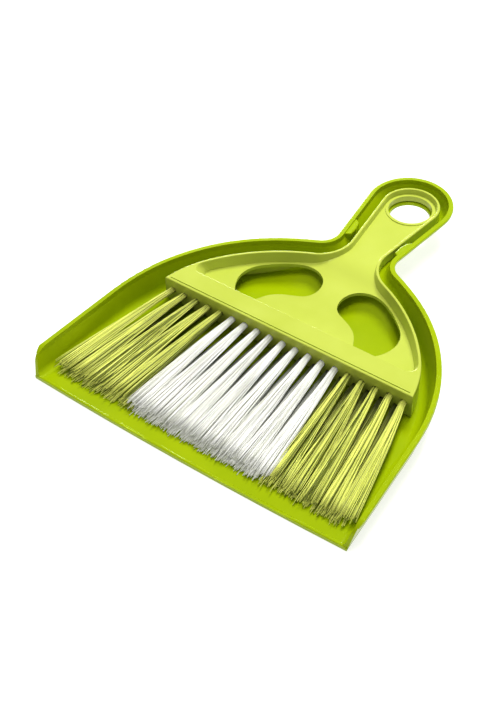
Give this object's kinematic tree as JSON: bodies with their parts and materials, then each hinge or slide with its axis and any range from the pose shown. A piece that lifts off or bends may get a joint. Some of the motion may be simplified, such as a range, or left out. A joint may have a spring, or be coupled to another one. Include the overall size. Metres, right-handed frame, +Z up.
{
  "type": "dustpan and brush set",
  "caption": "Shallow rimmed dustpan with a channelled handle and hanging hole, and a wide long-bristled hand brush with bean-shaped windows that nests inside it.",
  "frame": {"origin": "middle of the footprint, on the floor under the dustpan", "axes": "+Y from the dustpan's lip to the end of its handle, +Z up out of the open pan, X across the lip"},
  "size_m": [0.2252, 0.2727, 0.0238],
  "materials": {
    "pan_plastic": "semi-gloss deep lime green moulded plastic",
    "brush_plastic": "semi-gloss light lime green moulded plastic",
    "green_bristle": "soft lime green filaments",
    "white_bristle": "soft off-white filaments",
    "anchor_wire": "plain flat wire"
  },
  "bodies": {
    "dustpan": {"dustpan": "pan_plastic"},
    "brush": {"brush_body": "brush_plastic", "tuft_top_01": "green_bristle", "tuft_top_02": "green_bristle", "tuft_top_03": "green_bristle", "tuft_top_04": "green_bristle", "tuft_top_05": "green_bristle", "tuft_top_06": "white_bristle", "tuft_top_07": "white_bristle", "tuft_top_08": "white_bristle", "tuft_top_09": "white_bristle", "tuft_top_10": "white_bristle", "tuft_top_11": "white_bristle", "tuft_top_12": "white_bristle", "tuft_top_13": "white_bristle", "tuft_top_14": "white_bristle", "tuft_top_15": "green_bristle", "tuft_top_16": "green_bristle", "tuft_top_17": "green_bristle", "tuft_top_18": "green_bristle", "tuft_top_19": "green_bristle", "tuft_low_01": "green_bristle", "tuft_low_02": "green_bristle", "tuft_low_03": "green_bristle", "tuft_low_04": "green_bristle", "tuft_low_05": "green_bristle", "tuft_low_06": "white_bristle", "tuft_low_07": "white_bristle", "tuft_low_08": "white_bristle", "tuft_low_09": "white_bristle", "tuft_low_10": "white_bristle", "tuft_low_11": "white_bristle", "tuft_low_12": "white_bristle", "tuft_low_13": "white_bristle", "tuft_low_14": "green_bristle", "tuft_low_15": "green_bristle", "tuft_low_16": "green_bristle", "tuft_low_17": "green_bristle", "tuft_low_18": "green_bristle", "anchors_top": "anchor_wire", "anchors_low": "anchor_wire"}
  },
  "joints": [
    {"name": "brush_lift", "type": "slide", "parent": "dustpan", "child": "brush", "axis": [0, 0, 1], "range_m": [0, 0.06]}
  ]
}
